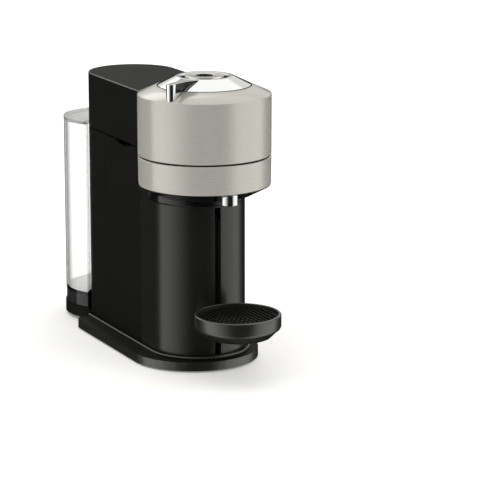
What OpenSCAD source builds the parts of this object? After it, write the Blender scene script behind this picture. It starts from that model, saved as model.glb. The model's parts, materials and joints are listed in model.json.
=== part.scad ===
// Pod coffee machine. Millimetres, +Z up, the front faces -Y, origin under the middle of the box.

/* [Head] */
// Outer radius of the round head
head_r = 71; // [64:0.5:85]
// Height of the head's shoulder, where the bevel starts
shoulder_z = 291.3; // [285:0.1:300]
// Height at which the lid parts from the body
split_z = 228.5; // [224:0.5:232]
// Underside of the head
head_bottom_z = 196.5; // [194:0.5:199]
// Radius of the chrome cap
cap_r = 49.7; // [48:0.1:52]
// Top of the button, the highest point
top_z = 314; // [312.5:0.1:317]
// Radius of the round push button
button_r = 20.8; // [18:0.1:23]
// Distance from the head axis to the middle of the lever's turned-down end
lever_reach = 64.7; // [60:0.1:65]
// Width of the lever's turned-down end
lever_w = 10.8; // [8:0.1:12]
// Angle of the lever from the left side towards the front
lever_angle = 33; // [20:1:45]
// Travel of the push button
button_travel = 1.5; // [1:0.1:2]

/* [Body] */
// Radius of the front column
column_r = 51; // [46:0.5:56]
// Half width of the body behind the column
body_r = 50; // [47:0.5:55]
// How far the column axis lies behind the head axis
column_back = 19.1; // [15:0.1:22]
// Distance from the column axis to the axis of the round rear end
body_len = 168.9; // [162:0.1:205]
// Wall of the outer shells
wall = 2.5; // [2:0.1:3]
// Width of the cup support's slot
slot_w = 7; // [6:0.1:9]
// Height of the black top cover
cover_z = 290.5; // [285:0.1:291]
// Seam between the column shell and the side panels, behind the head axis
front_seam = 54; // [52:0.5:60]
// Seam between the side panels and the rear housing, behind the head axis
rear_seam = 153; // [150:0.5:156]

/* [Base] */
// Half width of the base
base_r = 70; // [66:0.5:80]
// Height of the base's upright side
base_side = 11; // [9:0.5:12]
// Height of the ledge where it meets the body
base_top = 14; // [13.5:0.1:15]
// Corner radius at the rear of the base
base_corner = 15; // [8:1:25]
// Height of the rubber feet
foot_h = 1.5; // [1:0.1:2]

/* [Cup support] */
// How far the cup support's centre lies in front of the head axis
tray_reach = 80.3; // [78:0.1:95]
// Radius of the cup support
tray_r = 45.5; // [37:0.1:50]
// Height of its rim
tray_z = 72.6; // [70:0.1:76]
// Travel downwards
tray_down = 30; // [10:1:30]
// Travel upwards
tray_up = 45; // [20:1:50]

/* [Tank] */
// Outer radius of the water tank
tank_r = 56.7; // [54:0.1:68.5]
// How far the tank's axis lies behind the axis of the round rear end
tank_behind = 58; // [56:0.5:62]
// Radius of the dock under the tank
dock_r = 57.5; // [57:0.1:61]
// Height of the dock
dock_z = 16.5; // [16:0.1:17]
// Top of the dark collar, where the clear part starts
collar_z = 31; // [28:0.5:34]
// Top of the tank's lid
tank_z = 232; // [231:0.1:232.5]
// Thickness of the clear wall
tank_wall = 2.2; // [1.8:0.1:2.6]
// Gap between the tank and the round rear end
tank_gap = 3; // [2.5:0.1:4]

/* [Brewing] */
// Radius of the capsule holder's cup
holder_r = 27.5; // [26:0.1:29]
// Radius of the holder's shaft
shaft_r = 4; // [3:0.1:4.8]
// Radius of the driven pulley's groove
driven_r = 13; // [12:0.5:15]
// Radius of the motor pulley's groove
drive_r = 6.5; // [6:0.5:7]
// Distance from the holder's axis to the motor's axis
belt_len = 75; // [74:0.5:76]
// Radius of the motor
motor_r = 19; // [16:0.5:20]
// Radial running clearance of shafts and pins
fit = 0.05; // [0.02:0.01:0.1]
// Gap between neighbouring pieces
gap = 0.3; // [0.2:0.05:0.4]

/* [Lid] */
// Height of the hinge axis
hinge_z = 240; // [239:0.5:241]
// Radius of the hinge pin
pin_r = 2; // [1.5:0.1:2.2]
// Radius of the hinge knuckles
knuckle_r = 4.6; // [4.2:0.1:4.8]
// Height of the part line
split_gap = 1.8; // [1.4:0.1:2.2]

/* [Hidden] */
$fn = 96;
eps = 0.01;

// Places along the machine, from front to back
head_y = (tray_reach + tray_r - column_back - body_len - tank_behind - dock_r) / 2;
column_y = head_y + column_back;
rear_y = column_y + body_len;
tank_y = rear_y + tank_behind;
tray_y = head_y - tray_reach;
base_front_y = head_y + 30;
base_back_y = rear_y + 14;
hinge_y = rear_y + body_r - 9.5;
motor_y = head_y + belt_len;
valve_y = tank_y + 20;
pump_y = rear_y - 4;

// Heights
low_z = split_z - split_gap / 2;
high_z = split_z + split_gap / 2;
shell_z = base_top + 0.2;
floor_z = shell_z + 3;
sill = 2;
neck_z = head_bottom_z - 18.5;
neck_cone_z = head_bottom_z - 9.5;
neck_r = column_r + 1.5;
cone_r = 50;
cone_z = shoulder_z + (head_r - cone_r) * 0.543;
plateau_r = 31;
plateau_z = top_z - 1;
lever_z = plateau_z - 1.2;
lever_lift = 0.9;
deck_z = 250;
deck_t = 3;
tank_top = tank_z - 3.4;
tank_in_r = body_r + tank_gap;
horn_y = rear_y + 27;
head_draft = 0.6;

// Base: hollow under the plate, way through it, bead round the body's foot, screws and feet
base_wall = 3;
base_way_r = 36;
ledge_in = base_r - body_r - 6.5;
bead = [3.8, 5, 0.8];
screw_x = 42;
screw_r = 2;
screw_head = [3.6, 1.2];
foot_r = 8;
foot_x = 40;
dock_low = foot_h + 2.5;
valve_r = 9;
port_r = 10;

// Spout and brew chamber, from the head's axis
spout_y = -(head_r - 10.5);
spout_r = 9.2;
spout_low = head_bottom_z - 12;
chamber_r = head_r - 7;
chamber_z = head_bottom_z + 2.5;
drum_r = 36;
drum_wall = 2;
drum_low = neck_z + 10;
drum_top = drum_low + 28;
bearing_r = 11;
bearing_low = neck_z;
bearing_high = neck_z + 7;
bearing_mid = (bearing_low + bearing_high) / 2;

// Drive: motor on its deck, pulleys between it and the holder
motor_low = 100;
deck_low = 157;
motor_deck_t = 3;
motor_boss_r = 8;
motor_shaft_r = 2.5;
pulley_low = 166.5;
pulley_high = 174.5;
pulley_rim = 1;
belt_t = 1.2;

// Holder's cup: foot, flange and rim
holder_low = 164;
holder_flange_z = 218;
holder_rim_z = 223.5;
holder_bowl_z = 213;

// Water side: heater block, pump, flow meter, board and hoses
heater_size = 56;
heater_y = head_y + 26;
pump_r = 16;
pump_low = 40;
pump_high = 92;
pump_tip = 118;
meter_r = 11;
meter_x = 26;
meter_y = rear_y - 14;
board_size = 48;
hose_r = 2.5;

// Bin for used capsules
bin_w = 80;
bin_d = 50;
bin_low = 78;
bin_high = 222;
bin_wall = 2;

// Hinge pin and the ears that hold it
pin_half = 13;
ear_in = 6;
arm_half = 6;

// ---- helpers ----

// Everything in children() turned about the head axis
module on_head() translate([0, head_y, 0]) children();

// A flat piece from z0 up to z1
module slab(z0, z1) translate([0, 0, z0]) linear_extrude(z1 - z0) children();

// A ring or disc from z0 to z1
module ring(r_out, r_in, z0, z1) translate([0, 0, z0]) difference() {
    cylinder(r = r_out, h = z1 - z0);
    if (r_in > 0) translate([0, 0, -1]) cylinder(r = r_in, h = z1 - z0 + 2);
}

// A straight rod between two points
module rod(a, b, r) {
    d = b - a;
    translate(a) rotate([0, acos(d.z / norm(d)), atan2(d.y, d.x)]) cylinder(r = r, h = norm(d));
}

// A tube run along points, with a round joint at each corner
module run(points, r) {
    for (i = [1 : len(points) - 1]) rod(points[i - 1], points[i], r, $fn = 32);
    for (i = [1 : len(points) - 2]) translate(points[i]) sphere(r = r * 1.2, $fn = 32);
}

// Plan of the body: round in front, straight sides, round behind
module body_plan(r_front, r_side) {
    translate([0, column_y]) circle(r_front);
    translate([-r_front, column_y]) square([2 * r_front, front_seam - column_back]);
    translate([-r_side, column_y]) square([2 * r_side, body_len]);
    translate([0, rear_y]) circle(r_side);
}

// Everything on the body's plan between two places along Y
module between(y0, y1) intersection() {
    children();
    translate([-200, y0]) square([400, y1 - y0]);
}

// Plan of the base, drawn in by d
module base_plan(d = 0) {
    c = max(base_corner - d, 1);
    translate([0, base_front_y]) circle(base_r - d);
    translate([-(base_r - d), base_front_y])
        square([2 * (base_r - d), base_back_y - base_corner - base_front_y]);
    for (s = [-1, 1]) translate([s * (base_r - base_corner), base_back_y - base_corner]) circle(c);
    translate([-(base_r - base_corner), base_front_y])
        square([2 * (base_r - base_corner), base_back_y - d - base_front_y]);
}

// Plan of the tank: round outside, hollowed round the rear end, blunt horns, drawn in by d
module tank_plan(d = 0, r = tank_r) difference() {
    translate([0, tank_y]) circle(r - d);
    translate([0, rear_y]) circle(tank_in_r + d);
    translate([-200, horn_y + d - 200]) square([400, 200]);
}

// Outside of the neck, grown by d: a disc over the column under a cone round the head
module neck_body(d = 0) {
    on_head() translate([0, 0, neck_cone_z])
        cylinder(r1 = neck_r - 0.5 + d, r2 = head_r - 1 + d, h = head_bottom_z - neck_cone_z - 0.1);
    translate([0, column_y, neck_z]) rotate_extrude() polygon([
        [0, -d], [neck_r - 1.5 + d, -d], [neck_r + d, 1.5], [neck_r + d, 9.5 + d], [0, 9.5 + d]
    ]);
}

// Coil spring of round wire, from z0 to z1
function coil_point(r, z0, z1, turns, t) =
    [r * cos(360 * turns * t), r * sin(360 * turns * t), z0 + (z1 - z0) * t];
module coil(r, wire, z0, z1, turns) {
    steps = 14 * turns;
    sides = 8;
    rings = [for (i = [0 : steps]) let (
        t = i / steps,
        p = coil_point(r, z0 + wire, z1 - wire, turns, t),
        out = [cos(360 * turns * t), sin(360 * turns * t), 0]
    ) for (k = [0 : sides - 1])
        p + wire * (out * cos(360 * k / sides) + [0, 0, 1] * sin(360 * k / sides))];
    polyhedron(rings, concat(
        [[for (k = [0 : sides - 1]) k]],
        [for (i = [0 : steps - 1]) for (k = [0 : sides - 1])
            [i * sides + k, (i + 1) * sides + k,
             (i + 1) * sides + (k + 1) % sides, i * sides + (k + 1) % sides]],
        [[for (k = [sides - 1 : -1 : 0]) steps * sides + k]]
    ));
}

// ---- base and dock ----

module base_plate() color("#202020") {
    difference() {
        union() {
            slab(foot_h, base_side) base_plan();
            hull() {
                slab(base_side - eps, base_side) base_plan($fn = 48);
                slab(base_top - eps, base_top) base_plan(ledge_in, $fn = 48);
            }
        }
        slab(0, base_side - 1) base_plan(base_wall);
        slab(base_side - 3, base_top + 1) between(-300, rear_y - 20) body_plan(base_way_r, base_way_r);
        slab(0, 40) screw_places() circle(screw_r + 0.1);
        inlet_place() translate([0, 0, -6]) cylinder(r = 3.1, h = 20);
    }
    // bead round the body's foot
    slab(base_top - eps, base_top + bead[2]) difference() {
        between(-300, base_back_y - 8) body_plan(column_r + bead[1], column_r + bead[1]);
        between(-300, base_back_y) body_plan(column_r + bead[0], column_r + bead[0]);
    }
}

module screw_places() for (s = [-1, 1], y = [base_front_y - 20, rear_y - 10])
    translate([s * screw_x, y]) children();

module base_bottom() color("#1b1b1b") difference() {
    slab(foot_h, foot_h + 2) base_plan(base_wall + gap);
    slab(0, 40) screw_places() circle(screw_r + 0.1);
}

module rubber_feet() color("#141414") {
    for (s = [-1, 1], y = [base_front_y - 38, rear_y - 30])
        translate([s * foot_x, y, 0]) ring(foot_r, 0, 0, foot_h);
    translate([0, tank_y + 35, 0]) ring(foot_r, 0, 0, dock_low);
}

module base_screws() color("#8a8a8a") screw_places() {
    ring(screw_head[0], 0, foot_h - screw_head[1], foot_h);
    ring(screw_r, 0, foot_h - eps, base_top + 5);
}

module tank_dock() color("#1a1a1a") difference() {
    union() {
        translate([0, tank_y]) ring(dock_r, 0, dock_low, dock_z);
        translate([0, rear_y]) ring(body_r + 3, 0, dock_low, base_top);
    }
    slab(0, base_top + 0.1) base_plan(-gap);
    translate([0, rear_y]) ring(tank_in_r - 0.4, 0, base_top, dock_z + 1);
    slab(0, 200) translate([-200, head_y]) square([400, base_back_y + gap - head_y]);
    translate([0, valve_y]) ring(port_r, 0, dock_z - 6, dock_z + 1);
    // way for the hose from the inlet forward
    rod([0, valve_y, 8], [0, base_back_y - 5, 8], 4);
}

module dock_inlet() color("#2b2b2b") translate([0, valve_y]) {
    ring(port_r - 0.2, 0, dock_z - 6, dock_z - 3);
    ring(6, 4.5, dock_z - 3 - eps, dock_z + 0.1);
    ring(1.8, 0, dock_z - 3 - eps, dock_z + 3);
}

module inlet_place() translate([base_r - base_corner + 2, base_back_y - 2, 6.5])
    rotate([-90, 0, 0]) children();

module power_inlet() color("#161616") inlet_place() difference() {
        union() {
            translate([0, 0, -4]) cylinder(r = 3, h = 6.5);
            translate([0, 0, 2 + gap]) cylinder(r1 = 4.2, r2 = 3.4, h = 7);
        }
        translate([0, 0, -5]) cylinder(r = 1.8, h = 20);
    }

// ---- outer shells of the body ----

module column_shell() difference() {
    slab(shell_z, low_z) between(-300, head_y + front_seam - gap / 2) difference() {
        body_plan(column_r, column_r);
        body_plan(column_r - wall, column_r - wall);
    }
    neck_body(gap);
    on_head() ring(head_r + gap, 0, head_bottom_z - 0.2, low_z + 1);
    // the shell stops under the neck's disc
    translate([0, column_y]) ring(neck_r + gap, 0, neck_z - gap, neck_cone_z);
}

module front_column() color("#2c2c2a") difference() {
    column_shell();
    translate([-slot_w / 2, head_y - head_r, shell_z + sill])
        cube([slot_w, head_r, neck_z - shell_z - 2 * sill]);
}

module side_panel(side) color("#1d1d1b") difference() {
    slab(shell_z, low_z) intersection() {
        between(head_y + front_seam + gap / 2, head_y + rear_seam - gap / 2) difference() {
            body_plan(body_r, body_r);
            body_plan(body_r - wall, body_r - wall);
        }
        translate([side < 0 ? -200 : 0, -300]) square([200, 600]);
    }
    on_head() ring(head_r + gap, 0, head_bottom_z - 0.2, low_z + 1);
    // finger scoop in the top edge
    translate([side * body_r, head_y + 102.5, low_z - 4 + 59.8]) rotate([0, 90, 0])
        cylinder(r = 59.8, h = 20, center = true);
}

module left_side_panel() side_panel(-1);
module right_side_panel() side_panel(1);

module rear_housing() color("#1d1d1b") difference() {
    slab(shell_z, low_z) between(head_y + rear_seam + gap / 2, 300) difference() {
        body_plan(body_r, body_r);
        body_plan(body_r - wall, body_r - wall);
    }
    // room for the lid's lower edge as it swings under the hinge
    translate([-60, hinge_y, hinge_z]) rotate([0, 90, 0]) cylinder(r = 15, h = 120);
}

// ---- inner frame ----

module chassis() color("#3a3a3a") difference() {
    union() {
        // floor on the base
        slab(shell_z, floor_z) between(head_y + 10, 300)
            body_plan(body_r - wall - 2, body_r - wall - 2);
        // side webs
        for (s = [-1, 1]) translate([s < 0 ? -45 : 43, head_y + 20, shell_z]) cube([2, 74, 143]);
        // motor deck
        slab(deck_low, deck_low + motor_deck_t) between(head_y + 20, head_y + 94) body_plan(45, 45);
        // posts under the brew chamber
        for (s = [-1, 1]) translate([s * 30, head_y + 26, deck_low + motor_deck_t - eps])
            cylinder(r = 4, h = drum_low - deck_low - motor_deck_t);
        // rear post and hinge ears
        translate([-(ear_in + 6), hinge_y - 18, shell_z]) cube([2 * ear_in + 12, 5, 190 - shell_z]);
        for (s = [-1, 1]) translate([s < 0 ? -(ear_in + 6) : ear_in + gap, 0, 0]) {
            translate([0, hinge_y - 18, 189]) cube([6 - gap, 6, hinge_z + 4 - 189]);
            translate([0, hinge_y - 18, hinge_z - 4]) cube([6 - gap, 18, 8]);
            translate([0, hinge_y, hinge_z]) rotate([0, 90, 0])
                cylinder(r = knuckle_r, h = 6 - gap);
        }
    }
    translate([0, motor_y, 150]) cylinder(r = motor_boss_r + gap, h = 20);
    translate([-pin_half, hinge_y, hinge_z]) rotate([0, 90, 0])
        cylinder(r = pin_r + 0.01, h = 2 * pin_half);
    slab(0, 40) screw_places() circle(screw_r + 0.1);
}

module hinge_pin() color("silver") translate([-pin_half, hinge_y, hinge_z]) rotate([0, 90, 0])
    cylinder(r = pin_r, h = 2 * pin_half);

rail_front = column_y - column_r + wall + gap;
module support_rail() color("#333333") difference() {
    translate([-9, rail_front + 1.8, shell_z + 1]) cube([18, 14, 146]);
    translate([-slot_w / 2, rail_front - 1, 0]) cube([slot_w, 8, 300]);
    translate([-6.2, rail_front + 4, 0]) cube([12.4, 7, 300]);
}

// ---- head, fixed part ----

module head_ring() color("#b9b7b0") on_head() difference() {
    rotate_extrude() polygon([
        [head_r - wall - 1, head_bottom_z], [head_r - head_draft - 2, head_bottom_z],
        [head_r - head_draft, head_bottom_z + 2], [head_r - 0.2, low_z],
        [head_r - wall, low_z], [head_r - wall, head_bottom_z + 3],
        [head_r - wall - 1, head_bottom_z + 3]
    ]);
    // open towards the body behind it
    translate([-44, 30, 0]) cube([88, 60, 400]);
}

module neck() color("#141414") difference() {
    neck_body();
    // hollow for the brew chamber and the drive
    on_head() translate([0, 0, neck_cone_z])
        cylinder(r1 = neck_r - 4, r2 = head_r - 4.5, h = head_bottom_z - neck_cone_z);
    translate([0, column_y]) ring(column_r - wall - 1, 0, neck_z - 1, neck_cone_z + 1);
    on_head() translate([-150, 46, 0]) cube([300, 200, 300]);
    on_head() translate([0, spout_y, 0]) cylinder(r = spout_r + gap, h = 400);
}

module coffee_spout() color("#d8d8d8") on_head() translate([0, spout_y, 0]) rotate_extrude()
    polygon([[5, spout_low], [spout_r - 0.6, spout_low], [spout_r, spout_low + 0.7],
        [spout_r, head_bottom_z - 0.3], [5, head_bottom_z - 0.3]]);

module spout_insert() color("#222222") on_head() translate([0, spout_y, 0]) {
    ring(4.9, 3, spout_low + 1.5, head_bottom_z + 2.3);
    ring(6.5, 4.8, head_bottom_z - 0.2, head_bottom_z + 2.3);
}

module brew_chamber() color("#4a4a48") on_head() difference() {
    rotate_extrude() polygon([
        [bearing_r, bearing_low - 1.5], [bearing_r + 3, bearing_low - 1.5],
        [bearing_r + 3, drum_low], [drum_r, drum_low], [drum_r, chamber_z],
        [chamber_r, chamber_z], [chamber_r, low_z - 1.6], [chamber_r - 2, low_z - 1.6],
        [chamber_r - 2, chamber_z + 2.5], [drum_r, chamber_z + 2.5], [drum_r, drum_top],
        [drum_r - drum_wall, drum_top], [drum_r - drum_wall, drum_low + 2.5],
        [bearing_r - 3, drum_low + 2.5], [bearing_r - 3, bearing_high + 1],
        [bearing_r, bearing_high + 1]
    ]);
    translate([0, spout_y + 2, 0]) cylinder(r = 3, h = 400);
    // room for the belt's motor side and the capsules' way back
    translate([-34, 48, chamber_z + 6]) cube([68, 30, 60]);
}

module holder_bearing() color("#b0b0b0") on_head() {
    ring(bearing_r - 0.01, 8.6, bearing_low, bearing_high);
    ring(6.2, shaft_r + fit, bearing_low, bearing_high);
    for (i = [0 : 8]) rotate(40 * i) translate([7.4, 0, bearing_mid]) sphere(r = 1.15);
}

// ---- drive ----

module drive_motor() color("#777777") translate([0, motor_y]) {
    difference() {
        union() {
            ring(motor_r, 0, motor_low, deck_low);
            ring(motor_boss_r, 0, deck_low - eps, deck_low + 5);
        }
        translate([0, 0, motor_low - 10]) cylinder(r = motor_shaft_r + fit, h = 100);
    }
}

module motor_shaft() color("silver") translate([0, motor_y])
    ring(motor_shaft_r, 0, motor_low - 1, pulley_high + 1.5);
module motor_pulley() color("#dddddd") translate([0, motor_y])
    pulley(drive_r, motor_shaft_r);
module driven_pulley() color("#dddddd") on_head() pulley(driven_r, shaft_r);

module pulley(r, bore) rotate_extrude() polygon([
    [bore, pulley_low], [r + pulley_rim, pulley_low], [r + pulley_rim, pulley_low + 1],
    [r, pulley_low + 1], [r, pulley_high - 1], [r + pulley_rim, pulley_high - 1],
    [r + pulley_rim, pulley_high], [bore, pulley_high]
]);

// Outline of a belt round both pulleys, at a distance d from their grooves
module belt_plan(d) {
    tilt = asin((driven_r - drive_r) / belt_len);
    big = driven_r + d;
    small = drive_r + d;
    circle(big);
    translate([0, belt_len]) circle(small);
    polygon([
        [big * cos(tilt), big * sin(tilt)], [small * cos(tilt), belt_len + small * sin(tilt)],
        [-small * cos(tilt), belt_len + small * sin(tilt)], [-big * cos(tilt), big * sin(tilt)]
    ]);
}

module drive_belt() color("#101010") on_head() slab(pulley_low + 1.3, pulley_high - 1.3) difference() {
    belt_plan(gap + belt_t);
    belt_plan(gap);
}

module capsule_holder() color("#9a9a9a") on_head() {
    rotate_extrude() polygon(concat(
        [[0, holder_low], [shaft_r, holder_low], [shaft_r, drum_low + 3], [12, drum_low + 3],
         [holder_r + 3, holder_flange_z - 13], [holder_r + 3, holder_flange_z],
         [holder_r + 10, holder_flange_z], [holder_r + 10, holder_flange_z + 2.5],
         [holder_r + 3, holder_rim_z], [holder_r, holder_rim_z], [holder_r, holder_bowl_z]],
        [for (a = [10 : 10 : 80]) [holder_r * cos(a), holder_bowl_z - 17 * sin(a)]],
        [[0, holder_bowl_z - 17]]
    ));
}

// ---- water side ----

module heater() color("#c8c8c8") {
    translate([-heater_size / 2, heater_y, floor_z]) cube(heater_size);
    for (s = [-1, 1]) translate([s * 18, heater_y + 28, floor_z + heater_size - eps])
        cylinder(r = 5, h = 8);
}

module pump() color("#5a5a62") translate([0, pump_y, 0]) {
    ring(pump_r, 0, pump_low, pump_high);
    ring(8, 0, pump_high - eps, pump_tip);
    ring(5, 0, pump_low - 14, pump_low + eps);
    translate([-14, -19, 50]) cube([28, 38, 34]);
}

module pump_mounts() color("#151515") translate([0, pump_y, 0]) {
    ring(12, 5 + gap, floor_z, pump_low - 2);
    ring(20, 8 + gap, pump_high + 2, pump_high + 8);
}

module flow_meter() color("#e8e8e0") translate([meter_x, meter_y, 0]) {
    ring(meter_r, 0, floor_z, 36);
    ring(3, 0, 36 - eps, 42);
}

module main_board() color("#1e6b3a") translate([38, head_y + 100, 22]) {
    cube([1.6, board_size, board_size]);
    for (y = [6, 18, 30], z = [8, 26]) translate([-4, y, z]) cube([4 + eps, 8, 12]);
}

module water_hoses() color("#eeeeea") {
    // dock inlet to flow meter
    run([[0, valve_y, 8], [0, base_back_y + 1, 8]], hose_r);
    run([[meter_x, meter_y, 42.2], [meter_x, meter_y, 50], [meter_x, meter_y - 6, 54]], hose_r);
    // pump to heater
    run([[0, pump_y, pump_tip + 0.2], [0, pump_y, pump_tip + 10], [-43.5, pump_y - 10, pump_tip + 10],
         [-43.5, head_y + 110, 60], [-20, heater_y + 62, 50],
         [-20, heater_y + heater_size + 0.2, 50]], hose_r);
}

module capsule_bin() color("#2a2a2a") {
    y0 = head_y + 100;
    difference() {
        translate([-bin_w / 2, y0, bin_low]) cube([bin_w, bin_d, bin_high - bin_low]);
        bin_hollow(y0, bin_low + bin_wall);
    }
    // grip rim
    difference() {
        translate([-bin_w / 2 - 2, y0 - 2, bin_high - 2]) cube([bin_w + 4, bin_d + 4, 2]);
        bin_hollow(y0, bin_high - 20);
    }
}

module bin_hollow(y0, z) translate([-bin_w / 2 + bin_wall, y0 + bin_wall, z])
    cube([bin_w - 2 * bin_wall, bin_d - 2 * bin_wall, 200]);

// ---- lid ----

// Solid of the top cover, drawn in by d, with a rounded upper edge of radius e
module cover_body(d, e) {
    z = cover_z - d;
    r = body_r - d;
    skirt = d > 0 ? 50 : 0;
    module section() {
        translate([0, high_z - skirt]) square([r, z - e - high_z + skirt]);
        translate([0, high_z]) square([r - e, z - high_z]);
        translate([r - e, z - e]) circle(e);
    }
    translate([0, rear_y]) rotate([0, 0, -90]) rotate_extrude() section();
    translate([0, rear_y]) rotate([90, 0, 0]) linear_extrude(rear_y - head_y - 30) {
        section();
        mirror([1, 0]) section();
    }
}

module top_cover() color("#30302e") difference() {
    cover_body(0, 1.4);
    cover_body(wall, 0.6);
    on_head() ring(head_r + gap, 0, 0, 400);
}

module head_shell() color("#b9b7b0") on_head() difference() {
    rotate_extrude() polygon([
        [head_r - 0.2, high_z], [head_r, shoulder_z - 1.2], [head_r - 0.35, shoulder_z - 0.35],
        [head_r - 1.2, shoulder_z + 0.65], [cone_r + 0.3, cone_z - 0.2],
        [cone_r + 0.3, cone_z - 3], [head_r - wall, shoulder_z - 2.6],
        [head_r - wall, high_z]
    ]);
    translate([-(body_r - wall), 30, high_z - 1]) cube([2 * (body_r - wall), 60, 55]);
}

module lid_frame() color("#242424") difference() {
    union() {
        on_head() ring(head_r - wall - gap, 0, deck_z, deck_z + deck_t);
        slab(deck_z, deck_z + deck_t) between(head_y + 40, rear_y + 36)
            body_plan(body_r - wall - gap, body_r - wall - gap);
        // arm down to the hinge
        translate([-arm_half, rear_y + 10, hinge_z - 4])
            cube([2 * arm_half, hinge_y - rear_y - 10, 4 + deck_z - hinge_z + eps]);
        translate([-arm_half, hinge_y, hinge_z]) rotate([0, 90, 0])
            cylinder(r = knuckle_r, h = 2 * arm_half);
        // ribs under the cover
        for (s = [-1, 1]) translate([s < 0 ? -42 : 40, head_y + 60, deck_z + deck_t - eps])
            cube([2, 130, 18]);
    }
    translate([-pin_half, hinge_y, hinge_z]) rotate([0, 90, 0])
        cylinder(r = pin_r + fit, h = 2 * pin_half);
    // room for the ears of the frame below, all the way open
    for (s = [-1, 1]) translate([s < 0 ? -pin_half : ear_in - eps, hinge_y - 24, hinge_z - 10])
        cube([7, 40, 40]);
    // arc slots for the lever's legs
    on_head() for (a = [0, 180]) slab(deck_z - 1, deck_z + 5) arc_plan(42.4, 46.6, a + 45, a + 135);
    on_head() cylinder(r = 7 + gap, h = 400);
}

// Sector of a ring between two angles
module arc_plan(r_in, r_out, a0, a1) intersection() {
    difference() {
        circle(r_out);
        circle(r_in);
    }
    polygon([[0, 0], 100 * [cos(a0), sin(a0)], 140 * [cos((a0 + a1) / 2), sin((a0 + a1) / 2)],
        100 * [cos(a1), sin(a1)]]);
}

module brew_head() color("#3c3c3c") on_head() difference() {
    union() {
        ring(39.5, 0, 231, deck_z);
        ring(7, 0, deck_z - eps, deck_z + 8);
    }
    translate([0, 0, 200]) cylinder(r = shaft_r + fit, h = 49);
    translate([0, 0, 200]) cylinder(r = 1.2, h = 100);
    translate([31, -5, 230]) cube([10, 10, 8]);
}

module code_sensor() color("#101018") on_head() difference() {
    translate([31.3, -4.7, 229]) cube([7, 9.4, 8.7]);
    translate([34, 0, 228]) cylinder(r = 1.5, h = 3);
}

module piercing_plate() color("#c4c4c4") on_head() {
    difference() {
        union() {
            ring(30, 0, 225.8, 230);
            ring(shaft_r, 0, 230 - eps, 246);
        }
        translate([0, 0, 220]) cylinder(r = 0.6, h = 40);
    }
    difference() {
        translate([0, 0, 220.5]) cylinder(r1 = 0.9, r2 = 1.8, h = 5.3 + eps);
        translate([0, 0, 220]) cylinder(r = 0.6, h = 40);
    }
    for (i = [0 : 19]) rotate(18 * i) translate([25.5, 0, 224.2])
        cylinder(r1 = 0.2, r2 = 1, h = 1.6 + eps);
}

module lid_hose() color("#eeeeea") run([
    [0, head_y, deck_z + 8.2], [0, head_y, deck_z + 14], [54, head_y + 12, deck_z + 14],
    [36, head_y + 62, deck_z + 14], [18, rear_y, deck_z + 8], [18, rear_y + 20, deck_z + 6]
], hose_r);

// ---- lever, lock and button ----

// Children turned so that +X runs along the lever
module along_lever() on_head() rotate(180 + lever_angle) children();

module lever_cap() color("#dcdcdc") {
    on_head() rotate_extrude() polygon([
        [button_r + gap, plateau_z - 3], [button_r + gap, plateau_z - 0.3],
        [button_r + gap + 0.4, plateau_z], [plateau_r - 1, plateau_z],
        [plateau_r + 0.6, plateau_z - 0.5], [cap_r - 0.2, cone_z + 0.4],
        [cap_r, cone_z - 0.1], [cap_r - 0.6, cone_z - 0.8], [cap_r - 3, cone_z - 1.4],
        [plateau_r, plateau_z - 3]
    ]);
    // blade with its turned-down round end, its underside following the cap and the head's cone
    along_lever() difference() {
        slab(shoulder_z, lever_z) {
            translate([lever_reach, 0]) circle(lever_w / 2);
            polygon([
                [plateau_r - 3, -lever_w], [plateau_r + 7, -lever_w / 2 - 2.6],
                [lever_reach, -lever_w / 2], [lever_reach, lever_w / 2],
                [plateau_r + 7, lever_w / 2 + 2.6], [plateau_r - 3, lever_w / 2 + 3.6]
            ]);
        }
        rotate_extrude() polygon([
            [0, shoulder_z - 1], [head_r + 1, shoulder_z - 1],
            [head_r + 1, shoulder_z + lever_lift - 0.543], [cap_r + 0.4, cone_z + lever_lift],
            [cap_r - 2, cone_z + lever_lift], [plateau_r, plateau_z - 1.7], [0, plateau_z - 1.7]
        ]);
    }
    // two legs down through the frame to the lock ring
    on_head() for (a = [0, 180]) slab(240, cone_z + 1) arc_plan(43, 46, a + 48, a + 70);
}

module lock_ring() color("#b0b0b0") on_head() {
    ring(47.5, 40.2, 233, 240);
    for (i = [0 : 2]) slab(233, 236) arc_plan(47.4, 50, 120 * i - 10, 120 * i + 10);
}

module brew_button() color("#e0e0e0") on_head() difference() {
    union() {
        rotate_extrude() polygon([
            [0, top_z - 4.5], [button_r - 0.4, top_z - 4.5], [button_r, top_z - 4],
            [button_r, top_z - 0.6], [button_r - 0.8, top_z], [button_r - 2.4, top_z],
            [button_r - 4, top_z - 0.9], [9.5, top_z - 1.5], [0, top_z - 1.5]
        ]);
        ring(4, 0, 292, top_z - 4);
    }
    translate([0, 0, top_z - 2.6]) cylinder(r = 9, h = 5);
}

module button_window() color("#08080a") on_head() ring(9, 0, top_z - 2.6, top_z - 1.4);

module button_spring() color("silver") on_head() coil(6, 0.45, 287, top_z - 4.5, 4);

// ---- cup support ----

module cup_outside() translate([0, tray_y]) rotate_extrude() polygon([
    [0, tray_z - 26.6], [26, tray_z - 26.6], [35, tray_z - 24], [42, tray_z - 17],
    [44.4 / 45.5 * tray_r, tray_z - 15.2], [tray_r, tray_z - 13], [tray_r, tray_z - 0.8],
    [tray_r - 0.8, tray_z], [0, tray_z]
]);

module support_cup() color("#2e2e2c") difference() {
    cup_outside();
    translate([0, tray_y]) rotate_extrude() polygon([
        [0, tray_z - 23.6], [25, tray_z - 23.6], [34, tray_z - 21], [tray_r - 5.5, tray_z - 13],
        [tray_r - 5.5, tray_z - 5], [tray_r - 3, tray_z - 5], [tray_r - 3, tray_z + 1],
        [0, tray_z + 1]
    ]);
}

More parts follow.
